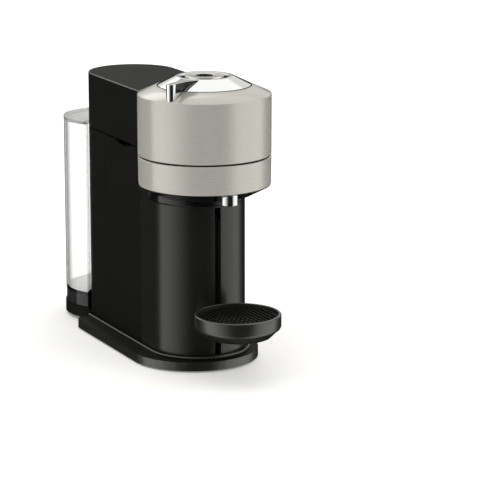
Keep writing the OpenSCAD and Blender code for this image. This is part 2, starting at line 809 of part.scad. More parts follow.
module support_arm() color("#262626") difference() {
    union() {
        translate([-slot_w / 2 + 0.5, tray_y + tray_r - 25, tray_z - 22])
            cube([slot_w - 1, rail_front + 5 - tray_y - tray_r + 25, 19]);
        translate([-5.8, rail_front + 4.4, tray_z - 22]) cube([11.6, 6.2, 19]);
        // bracket behind the cup, just short of the column
        translate([-11, tray_y + tray_r - 15, tray_z - 14])
            cube([22, column_y - column_r - gap - tray_y - tray_r + 15, 11]);
    }
    translate([0, 0.1, 0]) cup_outside();
}

module drip_grid() color("#1a1a1a") translate([0, tray_y]) difference() {
    ring(tray_r - 3 - gap, 0, tray_z - 5, tray_z - 3);
    slots_r = tray_r - 9;
    slots = floor((slots_r - 4) / 8);
    for (i = [-slots : slots]) translate([8 * i - 1.5, 0, tray_z - 6]) linear_extrude(4) {
        l = sqrt(pow(slots_r, 2) - pow(8 * i, 2));
        translate([0, -l]) square([3, 2 * l]);
    }
}

// ---- water tank ----

module tank_shell() color("#e6f0f2", 0.35) difference() {
    slab(collar_z, tank_top) tank_plan();
    slab(collar_z + 2.5, tank_top + 1) tank_plan(tank_wall);
    translate([0, valve_y]) ring(valve_r + 0.01, 0, 0, 100);
}

module tank_collar() color("#2a2a2c") difference() {
    slab(dock_z + gap, collar_z) tank_plan(0.5);
    slab(dock_z - 1, collar_z - 3) tank_plan(3);
    translate([0, valve_y]) ring(valve_r + 0.01, 0, 0, 100);
}

module valve_body() color("#303030") translate([0, valve_y]) difference() {
    union() {
        ring(valve_r, 0, 21, collar_z + 3);
        ring(valve_r + 2, 0, collar_z + 2.6, collar_z + 5);
    }
    cylinder(r = 3 + fit, h = 100);
    ring(7, 0, 26, collar_z + 1);
}

module valve_plunger() color("#d0d0d0") translate([0, valve_y]) {
    ring(3, 0, dock_z + 3.1, collar_z + 8);
    ring(6, 0, collar_z + 6, collar_z + 8);
}

module valve_spring() color("silver") translate([0, valve_y]) coil(4.4, 0.4, 26.1, collar_z + 0.9, 2);

module tank_lid() color("#2e2e30") {
    difference() {
        slab(tank_top + 0.1, tank_z) tank_plan(-0.2);
        slab(tank_z - 1, tank_z + 1) tank_plan(8);
    }
    slab(tank_z - 2, tank_z - 0.4) tank_plan(8.8);
    slab(tank_top - 1.2, tank_top + 0.1 + eps) difference() {
        tank_plan(tank_wall + 2.6);
        tank_plan(tank_wall + 4.6);
    }
}

base_plate();
base_bottom();
rubber_feet();
base_screws();
tank_dock();
dock_inlet();
power_inlet();
front_column();
left_side_panel();
right_side_panel();
rear_housing();
chassis();
hinge_pin();
support_rail();
head_ring();
neck();
coffee_spout();
spout_insert();
brew_chamber();
holder_bearing();
drive_motor();
drive_belt();
heater();
pump();
pump_mounts();
flow_meter();
main_board();
water_hoses();
capsule_bin();
top_cover();
head_shell();
lid_frame();
brew_head();
code_sensor();
lid_hose();
lever_cap();
lock_ring();
brew_button();
button_window();
button_spring();
piercing_plate();
capsule_holder();
driven_pulley();
motor_shaft();
motor_pulley();
support_cup();
support_arm();
drip_grid();
tank_shell();
tank_collar();
valve_body();
valve_plunger();
valve_spring();
tank_lid();
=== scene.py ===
"""Looks of a pod coffee machine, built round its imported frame. Metres, +Z up, the front faces -Y."""
import json
import math

import bmesh
import bpy
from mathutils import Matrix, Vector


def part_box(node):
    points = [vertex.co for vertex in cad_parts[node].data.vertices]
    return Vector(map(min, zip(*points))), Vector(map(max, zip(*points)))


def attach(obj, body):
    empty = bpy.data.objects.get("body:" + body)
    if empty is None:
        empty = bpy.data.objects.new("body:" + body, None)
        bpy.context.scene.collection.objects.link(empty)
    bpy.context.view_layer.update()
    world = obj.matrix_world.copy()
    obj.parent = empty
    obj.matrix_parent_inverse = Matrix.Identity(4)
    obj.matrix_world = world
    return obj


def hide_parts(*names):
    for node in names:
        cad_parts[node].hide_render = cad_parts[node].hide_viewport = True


MM = 0.001

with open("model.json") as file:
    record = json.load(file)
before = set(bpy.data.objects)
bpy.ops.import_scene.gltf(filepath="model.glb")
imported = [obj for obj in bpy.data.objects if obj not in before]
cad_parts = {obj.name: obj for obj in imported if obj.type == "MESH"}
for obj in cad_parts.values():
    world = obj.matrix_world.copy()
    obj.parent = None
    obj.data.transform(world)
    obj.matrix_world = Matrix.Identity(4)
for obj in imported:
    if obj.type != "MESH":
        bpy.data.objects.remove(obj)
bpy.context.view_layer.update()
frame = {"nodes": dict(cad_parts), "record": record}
nodes = frame["nodes"]
body_of_node = {node: body for body, names in frame["record"]["behaviour"]["bodies"].items()
                for node in names}
slot_of_node = {row["node"]: row["material_slot"] for row in frame["record"]["subparts"]}


# ---- places, all worked out from the frame, in millimetres ----

def box_mm(node):
    """Lowest and highest corner of a node."""
    low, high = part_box(node)
    return low / MM, high / MM


shell_low, shell_high = box_mm("head_shell")
ring_low, ring_high = box_mm("head_ring")
cap_high = box_mm("lever_cap")[1]
button_low, button_high = box_mm("brew_button")
tank_low, tank_high = box_mm("tank_shell")
tray_low, tray_high = box_mm("support_cup")
grid_low, grid_high = box_mm("drip_grid")
column_low, column_high = box_mm("front_column")
base_high = box_mm("base_plate")[1]
cover_high = box_mm("top_cover")[1]
housing_high = box_mm("rear_housing")[1]

HEAD_R = shell_high.x
HEAD_Y = shell_low.y + HEAD_R
BODY_R = housing_high.x
REAR_Y = housing_high.y - BODY_R
TANK_R = tank_high.x
TANK_Y = tank_high.y - TANK_R
TANK_IN_R = BODY_R + 3
TANK_HORN_Y = tank_low.y
TRAY_Y = tray_low.y + tray_high.x
GRID_R = grid_high.x
COLUMN_R = column_high.x
COLUMN_Y = column_low.y + COLUMN_R
CONE_SLOPE = 0.543
CAP_R = 49.7

# ---- helpers for materials ----


def linear(hex_colour):
    """sRGB hex to a linear RGBA tuple."""
    channels = [int(hex_colour[i:i + 2], 16) / 255 for i in (1, 3, 5)]
    return tuple(c / 12.92 if c <= 0.04045 else ((c + 0.055) / 1.055) ** 2.4 for c in channels) + (1,)


def add(tree, kind, links=None, **settings):
    """Add a node with its settings, and link its inputs from other nodes' outputs."""
    node = tree.nodes.new(kind)
    for key, value in settings.items():
        if key in node.bl_rna.properties:
            setattr(node, key, value)
        else:
            node.inputs[key.replace("_", " ")].default_value = value
    for key, source in (links or {}).items():
        tree.links.new(source, node.inputs[key])
    return node


def new_material(name, colour, **shader):
    """A principled material with uniform values on its own sockets."""
    material = bpy.data.materials.new(name)
    material.use_nodes = True
    tree = material.node_tree
    bsdf = tree.nodes["Principled BSDF"]
    bsdf.inputs["Base Color"].default_value = linear(colour)
    for key, value in shader.items():
        bsdf.inputs[key.replace("_", " ")].default_value = value
    return material, tree, bsdf


def grain(tree, bsdf, size_mm, depth_mm, detail=2.0):
    """Fine surface texture of a real grain size and depth, as bump."""
    place = add(tree, "ShaderNodeTexCoord").outputs["Object"]
    noise = add(tree, "ShaderNodeTexNoise", {"Vector": place}, Scale=1 / (size_mm * MM), Detail=detail)
    bump = add(tree, "ShaderNodeBump", {"Height": noise.outputs["Fac"]},
               Strength=1.0, Distance=depth_mm * MM)
    tree.links.new(bump.outputs["Normal"], bsdf.inputs["Normal"])
    return place


def vary(tree, bsdf, place, colours, roughness, size_mm):
    """Slow change of tone between two colours, and of gloss between two values."""
    cloud = add(tree, "ShaderNodeTexNoise", {"Vector": place}, Scale=1 / (size_mm * MM), Detail=3.0)
    tone = add(tree, "ShaderNodeMix", {"Factor": cloud.outputs["Fac"]}, data_type="RGBA")
    tone.inputs[6].default_value, tone.inputs[7].default_value = map(linear, colours)
    tree.links.new(tone.outputs[2], bsdf.inputs["Base Color"])
    gloss = add(tree, "ShaderNodeMapRange", {"Value": cloud.outputs["Fac"]},
                To_Min=roughness[0], To_Max=roughness[1])
    tree.links.new(gloss.outputs["Result"], bsdf.inputs["Roughness"])


# ---- materials ----


def textured_black_abs():
    """ABS from a spark-eroded mould: a dead, even black with a very fine tooth and hardly a shine."""
    material, tree, bsdf = new_material("textured_black_abs", "#161615", IOR=1.1)
    place = grain(tree, bsdf, 0.5, 0.018)
    vary(tree, bsdf, place, ("#151514", "#191918"), (0.46, 0.54), 60)
    return material


def satin_black_abs():
    """ABS from a finely blasted mould: black with a soft sheen that shows the soft boxes as bands."""
    material, tree, bsdf = new_material("satin_black_abs", "#1a1a18")
    place = grain(tree, bsdf, 0.6, 0.006)
    vary(tree, bsdf, place, ("#181817", "#1c1c1a"), (0.27, 0.31), 60)
    return material


def painted_highlight_black_abs():
    """Black ABS painted a lighter grey for the top edges and the foot bead: a painted highlight, the thin
    bright line the soft boxes would draw there; smooth, with hardly any tooth.
    """
    material, tree, bsdf = new_material("painted_highlight_black_abs", "#383836")
    place = grain(tree, bsdf, 2.0, 0.004)
    vary(tree, bsdf, place, ("#343432", "#3e3e3b"), (0.24, 0.32), 20)
    return material


def semi_gloss_black_abs():
    """ABS of the base and the cup support: black with a broad grey sheen where it faces a soft box."""
    material, tree, bsdf = new_material("semi_gloss_black_abs", "#1d1d1b", Specular_IOR_Level=0.95)
    place = grain(tree, bsdf, 0.6, 0.006)
    vary(tree, bsdf, place, ("#1b1b19", "#1f1f1d"), (0.3, 0.35), 40)
    return material


def polished_black_abs():
    """ABS from a polished mould: deep black with clear, slightly wavy reflections."""
    material, tree, bsdf = new_material("polished_black_abs", "#0c0c0c")
    place = grain(tree, bsdf, 8.0, 0.01)
    vary(tree, bsdf, place, ("#0b0b0b", "#0e0e0e"), (0.15, 0.2), 60)
    return material


def warm_grey_lacquer():
    """Metallic lacquer on ABS, fine ribs under it: warm grey, bright where it faces the soft boxes."""
    material, tree, bsdf = new_material("warm_grey_lacquer", "#b6b4ae", Metallic=0.22)
    place = grain(tree, bsdf, 0.4, 0.002)
    vary(tree, bsdf, place, ("#b3b1ab", "#b9b7b1"), (0.16, 0.2), 50)
    return material


def chrome_plate():
    """Chromium plate on ABS: mirror bright with a faintly cool tint and long soft waves."""
    material, tree, bsdf = new_material("chrome_plate", "#e2e4e6", Metallic=1.0)
    place = grain(tree, bsdf, 14.0, 0.006)
    vary(tree, bsdf, place, ("#dfe1e3", "#e6e8ea"), (0.03, 0.06), 30)
    return material


def satin_chrome():
    """Satin chromium plate: bright, but its reflections are blurred to an even silver."""
    material, tree, bsdf = new_material("satin_chrome", "#d6d8da", Metallic=1.0)
    place = grain(tree, bsdf, 0.5, 0.004)
    vary(tree, bsdf, place, ("#d2d4d6", "#dadcde"), (0.12, 0.17), 30)
    return material


def satin_silver_paint():
    """The button: silver paint on plastic, flat enough to blur what it reflects."""
    material, tree, bsdf = new_material("satin_silver_paint", "#cfcfca", Metallic=0.9)
    place = grain(tree, bsdf, 0.8, 0.002)
    vary(tree, bsdf, place, ("#ccccc7", "#d2d2cd"), (0.2, 0.26), 30)
    return material


def black_lens():
    """Cast acrylic lens over the lamp: near-black and glassy."""
    material, tree, bsdf = new_material("black_lens", "#040405", IOR=1.03)
    place = grain(tree, bsdf, 6.0, 0.004)
    vary(tree, bsdf, place, ("#030304", "#060607"), (0.3, 0.4), 20)
    return material


def painted_dark_chrome():
    """Chrome painted nearly black, as smooth as the chrome: painted shade round the cap's foot and along the
    lever's foot and underside, and a painted dark reflection on the lever's upper flanks.
    """
    material, tree, bsdf = new_material("painted_dark_chrome", "#242423", Metallic=1.0)
    place = grain(tree, bsdf, 14.0, 0.006)
    vary(tree, bsdf, place, ("#20201f", "#2c2c2b"), (0.06, 0.1), 12)
    return material


def clear_copolyester():
    """Clear copolyester of the tank: hardly seen in its faces, grey lines along its edges."""
    material, tree, bsdf = new_material("clear_copolyester", "#fcfdfd", IOR=1.0, Roughness=0.0,
                                        Transmission_Weight=1.0, Coat_Weight=0.7, Coat_Roughness=0.02)
    place = grain(tree, bsdf, 60.0, 0.03)
    # painted shade: grey is mixed into the colour where the wall turns edge-on to the view, for the darker
    # look of the plastic's edges that its dark refractions and long light path give
    slant = add(tree, "ShaderNodeLayerWeight", Blend=0.5)
    edge = add(tree, "ShaderNodeMapRange", {"Value": slant.outputs["Facing"]},
               interpolation_type="SMOOTHSTEP", From_Min=0.45, From_Max=1.0)
    cloud = add(tree, "ShaderNodeTexNoise", {"Vector": place}, Scale=12.0)
    patchy = add(tree, "ShaderNodeMapRange", {"Value": cloud.outputs["Fac"]}, To_Min=0.8, To_Max=1.0)
    amount = add(tree, "ShaderNodeMath", {0: edge.outputs["Result"], 1: patchy.outputs["Result"]},
                 operation="MULTIPLY")
    tone = add(tree, "ShaderNodeMix", {"Factor": amount.outputs[0]}, data_type="RGBA")
    tone.inputs[6].default_value, tone.inputs[7].default_value = linear("#fcfdfd"), linear("#3c3e3e")
    tree.links.new(tone.outputs[2], bsdf.inputs["Base Color"])
    return material


def tinted_copolyester():
    """The tank's lid: the same clear plastic with a little grey in it."""
    material, tree, bsdf = new_material("tinted_copolyester", "#c4c6c6", IOR=1.1,
                                        Transmission_Weight=0.8, Coat_Weight=0.5, Coat_Roughness=0.04)
    place = grain(tree, bsdf, 40.0, 0.02)
    vary(tree, bsdf, place, ("#c1c3c3", "#cacccc"), (0.02, 0.06), 50)
    return material


def frosted_copolyester():
    """The tank's floor, blasted in the mould: pale, milky and without reflections."""
    material, tree, bsdf = new_material("frosted_copolyester", "#dadbda")
    place = grain(tree, bsdf, 0.5, 0.01)
    vary(tree, bsdf, place, ("#d7d8d7", "#dedfde"), (0.4, 0.5), 40)
    return material


def smoked_plastic():
    """Smoke-grey polycarbonate of the tank's collar: dark and glassy."""
    material, tree, bsdf = new_material("smoked_plastic", "#28282a", IOR=1.35)
    place = grain(tree, bsdf, 10.0, 0.01)
    vary(tree, bsdf, place, ("#262628", "#2c2c2e"), (0.08, 0.13), 40)
    return material


def black_rubber():
    """Nitrile rubber: matt, soft black that takes on a little dust."""
    material, tree, bsdf = new_material("black_rubber", "#171717", Specular_IOR_Level=0.3)
    place = grain(tree, bsdf, 0.4, 0.03)
    vary(tree, bsdf, place, ("#131313", "#1f1f1e"), (0.7, 0.85), 6)
    return material


def turned_steel():
    """Turned stainless steel: fine rings round Z draw a reflection out to a streak."""
    material, tree, bsdf = new_material("turned_steel", "#b0b0b2", Metallic=1.0)
    place = add(tree, "ShaderNodeTexCoord").outputs["Object"]
    flat = add(tree, "ShaderNodeMapping", {"Vector": place})
    flat.inputs["Scale"].default_value = (0.02, 0.02, 1)
    rings = add(tree, "ShaderNodeTexNoise", {"Vector": flat.outputs["Vector"]}, Scale=1 / (0.4 * MM))
    bump = add(tree, "ShaderNodeBump", {"Height": rings.outputs["Fac"]}, Strength=0.6, Distance=0.02 * MM)
    tree.links.new(bump.outputs["Normal"], bsdf.inputs["Normal"])
    vary(tree, bsdf, place, ("#a8a8aa", "#b8b8ba"), (0.22, 0.3), 8)
    return material


def die_cast_aluminium():
    """Die-cast aluminium: pale grey with a sandy skin."""
    material, tree, bsdf = new_material("die_cast_aluminium", "#b4b5b8", Metallic=1.0)
    place = grain(tree, bsdf, 1.0, 0.05)
    vary(tree, bsdf, place, ("#a6a7aa", "#bcbdc0"), (0.4, 0.52), 10)
    return material


def glass_filled_nylon():
    """Glass-filled nylon of the inner frame: dark grey, slightly streaked by its fibres."""
    material, tree, bsdf = new_material("glass_filled_nylon", "#2c2c2b", Specular_IOR_Level=0.35)
    place = grain(tree, bsdf, 1.2, 0.03)
    vary(tree, bsdf, place, ("#262625", "#343432"), (0.5, 0.62), 12)
    return material


def silicone_hose():
    """Silicone hose: milky white and slightly see-through."""
    material, tree, bsdf = new_material("silicone_hose", "#dadad4", Subsurface_Weight=0.3,
                                        Subsurface_Scale=0.002)
    place = grain(tree, bsdf, 2.0, 0.02)
    vary(tree, bsdf, place, ("#d4d4cd", "#e0e0da"), (0.38, 0.5), 15)
    return material


def solder_mask():
    """Glass-epoxy board under green solder mask: glossy, with the weave just showing."""
    material, tree, bsdf = new_material("solder_mask", "#14512c")
    place = grain(tree, bsdf, 0.7, 0.01)
    vary(tree, bsdf, place, ("#104626", "#185a32"), (0.28, 0.4), 5)
    return material


FINISH = {
    "satin_black": textured_black_abs(),
    "column_black": satin_black_abs(),
    "gloss_black": polished_black_abs(),
    "grey_ribbed": warm_grey_lacquer(),
    "chrome": chrome_plate(),
    "dark_window": black_lens(),
    "clear_tank": clear_copolyester(),
    "smoke_plastic": smoked_plastic(),
    "rubber": black_rubber(),
    "steel": turned_steel(),
    "cast_alu": die_cast_aluminium(),
    "inner_plastic": glass_filled_nylon(),
    "hose": silicone_hose(),
    "board": solder_mask(),
}
SATIN_CHROME = satin_chrome()
PAINTED_DARK_CHROME = painted_dark_chrome()
SEMI_GLOSS = semi_gloss_black_abs()
PAINTED_HIGHLIGHT_EDGE = painted_highlight_black_abs()

for node, slot in slot_of_node.items():
    nodes[node].data.materials.clear()
    nodes[node].data.materials.append(FINISH[slot])
nodes["tank_lid"].data.materials[0] = tinted_copolyester()


# ---- helpers for pieces ----


def make_object(name, mesh, node, finish=None, stands_for=True):
    """Put a finished mesh in the scene, on its body, in the finish of a node it stands for."""
    obj = bpy.data.objects.new(name, mesh)
    bpy.context.scene.collection.objects.link(obj)
    if mesh.materials:
        mesh.materials.clear()
    mesh.materials.append(finish or FINISH[slot_of_node[node]])
    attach(obj, body_of_node[node])
    if stands_for:
        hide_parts(node)
    return obj


def smooth(mesh, angle=32):
    """Smooth shading, sharp where faces meet at more than an angle in degrees."""
    mesh.polygons.foreach_set("use_smooth", [True] * len(mesh.polygons))
    mesh.set_sharp_from_angle(angle=math.radians(angle))


def bevelled(obj, width_mm, angle=50):
    """Round the edges where an object's faces meet at more than an angle in degrees."""
    bevel = obj.modifiers.new("rounded_edges", "BEVEL")
    bevel.width, bevel.segments = width_mm * MM, 3
    bevel.limit_method, bevel.angle_limit = "ANGLE", math.radians(angle)
    bevel.use_clamp_overlap = True
    bevel.harden_normals = True
    return obj


def soft_copy(node, width_mm, angle=50, finish=None):
    """A merged copy of a CAD node with its edges rounded as the mould leaves them."""
    mesh = nodes[node].data.copy()
    work = bmesh.new()
    work.from_mesh(mesh)
    bmesh.ops.remove_doubles(work, verts=work.verts, dist=0.002 * MM)
    bmesh.ops.dissolve_limit(work, angle_limit=math.radians(0.5), verts=work.verts,
                             edges=work.edges, use_dissolve_boundaries=False)
    work.to_mesh(mesh)
    work.free()
    smooth(mesh)
    return bevelled(make_object(node + "_moulded", mesh, node, finish), width_mm, angle)


def refinish(obj, material, chosen):
    """Give the faces that a test on their normal and height picks a second finish."""
    obj.data.materials.append(material)
    for face in obj.data.polygons:
        if chosen(face.normal, face.center.z / MM):
            face.material_index = len(obj.data.materials) - 1


def solid(name, verts, faces, finish_of_face=None, angle=32):
    """A closed mesh: doubles merged, faces outwards, smooth up to an angle in degrees."""
    mesh = bpy.data.meshes.new(name)
    mesh.from_pydata(verts, [], faces)
    if finish_of_face:
        mesh.polygons.foreach_set("material_index", finish_of_face)
    work = bmesh.new()
    work.from_mesh(mesh)
    bmesh.ops.remove_doubles(work, verts=work.verts, dist=0.001 * MM)
    loose = [edge for edge in work.edges if not edge.link_faces]
    bmesh.ops.delete(work, geom=loose, context="EDGES")
    bmesh.ops.recalc_face_normals(work, faces=work.faces)
    work.to_mesh(mesh)
    work.free()
    smooth(mesh, angle)
    return mesh


def revolved(name, profile, centre, arc=(0, 360), steps=192):
    """A closed solid: a polygon of (radius, height) turned round an upright axis, in millimetres."""
    full = arc[1] - arc[0] >= 360
    count = len(profile)
    rings = steps if full else steps + 1
    verts, faces = [], []
    for i in range(rings):
        turn = math.radians(arc[0] + (arc[1] - arc[0]) * i / steps)
        for r, z in profile:
            verts.append(((centre[0] + r * math.cos(turn)) * MM,
                          (centre[1] + r * math.sin(turn)) * MM, z * MM))
    for i in range(steps):
        a, b = i * count, ((i + 1) % rings) * count
        for k in range(count):
            m = (k + 1) % count
            faces.append((a + k, b + k, b + m, a + m))
    if not full:
        faces.append(tuple(range(count)))
        faces.append(tuple(range((rings - 1) * count, rings * count)))
    return solid(name, verts, faces)


def joined(name, meshes):
    """Several meshes as one."""
    work = bmesh.new()
    for mesh in meshes:
        work.from_mesh(mesh)
    result = bpy.data.meshes.new(name)
    work.to_mesh(result)
    work.free()
    smooth(result)
    return result


def prism(name, outline, low, high):
    """A closed solid with an outline of (x, y), between two heights, in millimetres."""
    count = len(outline)
    verts = [(x * MM, y * MM, z * MM) for z in (low, high) for x, y in outline]
    faces = [tuple(reversed(range(count))), tuple(range(count, 2 * count))]
    faces += [(k, (k + 1) % count, count + (k + 1) % count, count + k) for k in range(count)]
    return solid(name, verts, faces)


def node_group(name, inputs):
    """An empty Geometry Nodes tree with a geometry in and out and named inputs."""
    tree = bpy.data.node_groups.new(name, "GeometryNodeTree")
    tree.interface.new_socket("Geometry", in_out="INPUT", socket_type="NodeSocketGeometry")
    tree.interface.new_socket("Geometry", in_out="OUTPUT", socket_type="NodeSocketGeometry")
    for label, kind in inputs:
        tree.interface.new_socket(label, in_out="INPUT", socket_type=kind)
    return tree, tree.nodes.new("NodeGroupInput").outputs, tree.nodes.new("NodeGroupOutput").inputs


def grown(mesh, tree, values):
    """Run a Geometry Nodes tree over a mesh, and give the result back as a plain mesh."""
    obj = bpy.data.objects.new("growing", mesh)
    bpy.context.scene.collection.objects.link(obj)
    modifier = obj.modifiers.new("nodes", "NODES")
    modifier.node_group = tree
    for item in tree.interface.items_tree:
        if item.in_out == "INPUT" and item.name in values:
            modifier[item.identifier] = values[item.name]
    done = obj.evaluated_get(bpy.context.evaluated_depsgraph_get())
    result = bpy.data.meshes.new_from_object(done)
    bpy.data.objects.remove(obj)
    return result


# ---- the ribbed head ----

RIB_PITCH = 2.1
RIB_DEPTH = 0.24
RIB_ROWS = 6
HEAD_STEPS = 240
WALL = 2.5
SHOULDER_Z = shell_high.z - 9.65
SHOULDER_ROUND = 1.6
BAND_Z = shell_low.z + 54  # the shell is open at the back below this height
CAP_SEAT_R = 50.3
CONE_ANGLE = math.degrees(math.atan(1 / CONE_SLOPE))


def rib_tree():
    """Draws the wall in by a row of shallow scallops, wherever the wall attribute is 1."""
    tree, given, out = node_group("head_ribs", [
        ("Pitch", "NodeSocketFloat"), ("Depth", "NodeSocketFloat"), ("Axis Y", "NodeSocketFloat"),
        ("Material", "NodeSocketMaterial")])
    place = add(tree, "ShaderNodeSeparateXYZ", {"Vector": add(tree, "GeometryNodeInputPosition").outputs[0]})
    phase = add(tree, "ShaderNodeMath", {0: place.outputs["Z"], 1: given["Pitch"]}, operation="DIVIDE")
    turn = add(tree, "ShaderNodeMath", {0: phase.outputs[0]}, operation="MULTIPLY")
    turn.inputs[1].default_value = math.pi
    wave = add(tree, "ShaderNodeMath", {0: turn.outputs[0]}, operation="SINE")
    lobe = add(tree, "ShaderNodeMath", {0: wave.outputs[0]}, operation="ABSOLUTE")
    dip = add(tree, "ShaderNodeMath", {0: lobe.outputs[0]}, operation="SUBTRACT")
    dip.inputs[1].default_value = 1.0
    wall = add(tree, "GeometryNodeInputNamedAttribute", Name="wall", data_type="FLOAT")
    deep = add(tree, "ShaderNodeMath", {0: dip.outputs[0], 1: given["Depth"]}, operation="MULTIPLY")
    part = add(tree, "ShaderNodeMath", {0: deep.outputs[0], 1: wall.outputs["Attribute"]},
               operation="MULTIPLY")
    back = add(tree, "ShaderNodeMath", {0: place.outputs["Y"], 1: given["Axis Y"]}, operation="SUBTRACT")
    spoke = add(tree, "ShaderNodeCombineXYZ", {"X": place.outputs["X"], "Y": back.outputs[0]})
    outward = add(tree, "ShaderNodeVectorMath", {0: spoke.outputs[0]}, operation="NORMALIZE")
    shift = add(tree, "ShaderNodeVectorMath", {0: outward.outputs[0], "Scale": part.outputs[0]},
                operation="SCALE")
    moved = add(tree, "GeometryNodeSetPosition", {"Geometry": given["Geometry"], "Offset": shift.outputs[0]})
    real = add(tree, "GeometryNodeRealizeInstances", {"Geometry": moved.outputs[0]})
    dressed = add(tree, "GeometryNodeSetMaterial",
                  {"Geometry": real.outputs[0], "Material": given["Material"]})
    tree.links.new(dressed.outputs[0], out["Geometry"])
    return tree


RIBS = rib_tree()


def wall_rows(z0, z1, r0, r1):
    """Close rows up a wall, six to a rib, so that the ribs come out round."""
    first, last = math.ceil(z0 / RIB_PITCH * RIB_ROWS), math.floor(z1 / RIB_PITCH * RIB_ROWS)
    heights = [z0] + [i * RIB_PITCH / RIB_ROWS for i in range(first, last + 1)] + [z1]
    heights = sorted(set(round(z, 4) for z in heights))
    return [(r0 + (r1 - r0) * (z - z0) / (z1 - z0), z) for z in heights]


def ribbed(mesh, z0, z1, least_r):
    """Mark the outer wall between two heights, then grow ribs on it."""
    wall = mesh.attributes.new("wall", "FLOAT", "POINT")
    marks = []
    for v in mesh.vertices:
        r = math.hypot(v.co.x / MM, v.co.y / MM - HEAD_Y)
        marks.append(1.0 if r > least_r and z0 < v.co.z / MM < z1 else 0.0)
    wall.data.foreach_set("value", marks)
    result = grown(mesh, RIBS, {"Pitch": RIB_PITCH * MM, "Depth": RIB_DEPTH * MM,
                                "Axis Y": HEAD_Y * MM, "Material": FINISH["grey_ribbed"]})
    smooth(result, 60)
    return result


def shoulder_arc():
    """Points of the rounded shoulder from the upright wall to the cone's slope."""
    turns = [math.radians(CONE_ANGLE * i / 8) for i in range(9)]
    middle_r, middle_z = HEAD_R - SHOULDER_ROUND, SHOULDER_Z + 1 - SHOULDER_ROUND
    return [(middle_r + SHOULDER_ROUND * math.cos(a), middle_z + SHOULDER_ROUND * math.sin(a))
            for a in turns]


def head_band(name, profile, half_gap_mm):
    """A band of the head that leaves a gap at the back, where it meets the body."""
    gap = math.degrees(math.asin(half_gap_mm / HEAD_R))
    return revolved(name, profile, (0, HEAD_Y), arc=(90 + gap, 450 - gap), steps=HEAD_STEPS)


inner_r = HEAD_R - WALL
shell_z, seat_z = shell_low.z, shell_high.z
upper_profile = wall_rows(BAND_Z, SHOULDER_Z - 0.6, HEAD_R - 0.02, HEAD_R) + shoulder_arc() + [
    (CAP_SEAT_R + 0.5, seat_z - 0.15), (CAP_SEAT_R, seat_z - 0.3), (CAP_SEAT_R, seat_z - 2.8),
    (inner_r, SHOULDER_Z - 2.6), (inner_r, BAND_Z)]
lower_profile = [(HEAD_R - 0.9, shell_z), (HEAD_R - 0.3, shell_z + 0.5)] + wall_rows(
    shell_z + 0.7, BAND_Z, HEAD_R - 0.2, HEAD_R - 0.02) + [(inner_r, BAND_Z), (inner_r, shell_z)]
shell = joined("ribbed_head_shell", [
    revolved("upper_band", upper_profile, (0, HEAD_Y), steps=HEAD_STEPS),
    head_band("lower_band", lower_profile, BODY_R - WALL)])
shell = ribbed(shell, shell_z + 1, SHOULDER_Z - 0.9, HEAD_R - 1.2)
make_object("ribbed_head_shell", shell, "head_shell")

RING_GAP = 44
RING_ROUND = 2.2
ring_top, ring_foot = ring_high.z, ring_low.z
foot_r = HEAD_R - 0.6
round_foot = [(foot_r - RING_ROUND + RING_ROUND * math.cos(math.radians(a)),
               ring_foot + RING_ROUND + RING_ROUND * math.sin(math.radians(a))) for a in range(-90, 1, 10)]
ring_profile = round_foot + wall_rows(ring_foot + 2.4, ring_top - 0.7, foot_r, HEAD_R - 0.2) + [
    (HEAD_R - 0.3, ring_top - 0.5), (HEAD_R - 0.9, ring_top), (inner_r, ring_top),
    (inner_r, ring_foot + 3), (inner_r - 1, ring_foot + 3), (inner_r - 1, ring_foot)]
ring = head_band("ribbed_head_ring", ring_profile, RING_GAP)
ring = ribbed(ring, ring_foot + 2.6, ring_top - 0.9, HEAD_R - 1.4)
make_object("ribbed_head_ring", ring, "head_ring")

# ---- body, base and cup support with rounded edges ----

cover = soft_copy("top_cover", 0.5)
# painted highlight: the cover's slanted top-edge faces take the lighter grey finish, a bright line along its
# edges
refinish(cover, PAINTED_HIGHLIGHT_EDGE, lambda normal, z: 0.3 < normal.z < 0.9 and z > cover_high.z - 2)
for node in ("left_side_panel", "right_side_panel", "rear_housing", "front_column"):
    soft_copy(node, 0.35)
base = soft_copy("base_plate", 0.7, angle=15, finish=SEMI_GLOSS)
refinish(base, FINISH["satin_black"], lambda normal, z: normal.z > 0.5)
soft_copy("tank_dock", 0.7)
soft_copy("tank_collar", 0.5)
soft_copy("support_cup", 0.5, finish=SEMI_GLOSS)
soft_copy("coffee_spout", 0.4, finish=SATIN_CHROME)

# ---- push button: shallow dish round the lens, and its stem ----

BUTTON_R = button_high.x
BUTTON_Z = button_high.z - 1.3
LENS_R = 9
LENS_WELL = 2
dish_profile = [
    (0, BUTTON_Z - 4.5), (BUTTON_R - 0.4, BUTTON_Z - 4.5), (BUTTON_R, BUTTON_Z - 4.1),
    (BUTTON_R, BUTTON_Z - 0.5), (BUTTON_R - 0.12, BUTTON_Z - 0.2), (BUTTON_R - 0.45, BUTTON_Z),
    (BUTTON_R - 1.6, BUTTON_Z - 0.02), (LENS_R + 0.7, BUTTON_Z - 0.1), (LENS_R + 0.3, BUTTON_Z - 0.16),
    (LENS_R + 0.1, BUTTON_Z - 0.4), (LENS_R, BUTTON_Z - 0.8), (LENS_R, BUTTON_Z - LENS_WELL),
    (0, BUTTON_Z - LENS_WELL)]
stem_profile = [(0, button_low.z), (4, button_low.z), (4, BUTTON_Z - 4.4), (0, BUTTON_Z - 4.4)]
push_button = joined("push_button", [revolved("dish", dish_profile, (0, HEAD_Y)),
                                     revolved("stem", stem_profile, (0, HEAD_Y), steps=48)])
make_object("push_button", push_button, "brew_button", satin_silver_paint())
